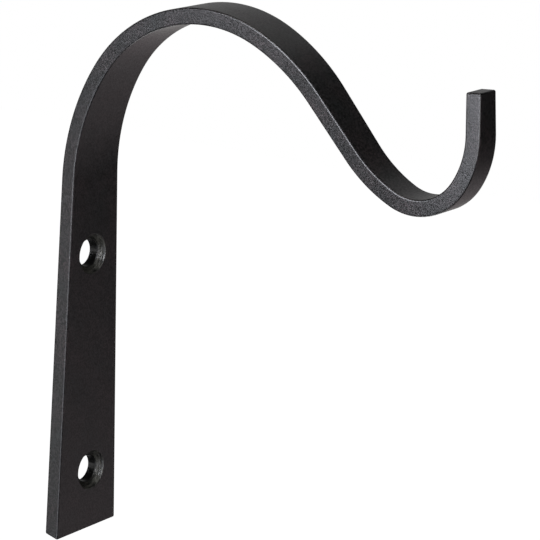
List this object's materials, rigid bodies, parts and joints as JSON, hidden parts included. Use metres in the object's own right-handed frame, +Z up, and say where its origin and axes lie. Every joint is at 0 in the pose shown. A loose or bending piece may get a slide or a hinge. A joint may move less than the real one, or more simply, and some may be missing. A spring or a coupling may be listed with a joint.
{
  "type": "wall plant hook",
  "caption": "Flat steel bar, tapered along one edge, that runs from a wide countersunk wall foot through a tall bent arch to a small upturned hook for a hanging plant.",
  "frame": {"origin": "on the wall plane, midway between the two screw holes", "axes": "+X away from the wall, out of the countersinks; +Z up the wall; +Y across the bar's width, towards its straight edge"},
  "size_m": [0.1252, 0.0254, 0.1528],
  "materials": {
    "black_powder_coat": "satin black powder coat with a fine grain"
  },
  "bodies": {
    "root": {"plant_hook": "black_powder_coat"}
  },
  "joints": []
}
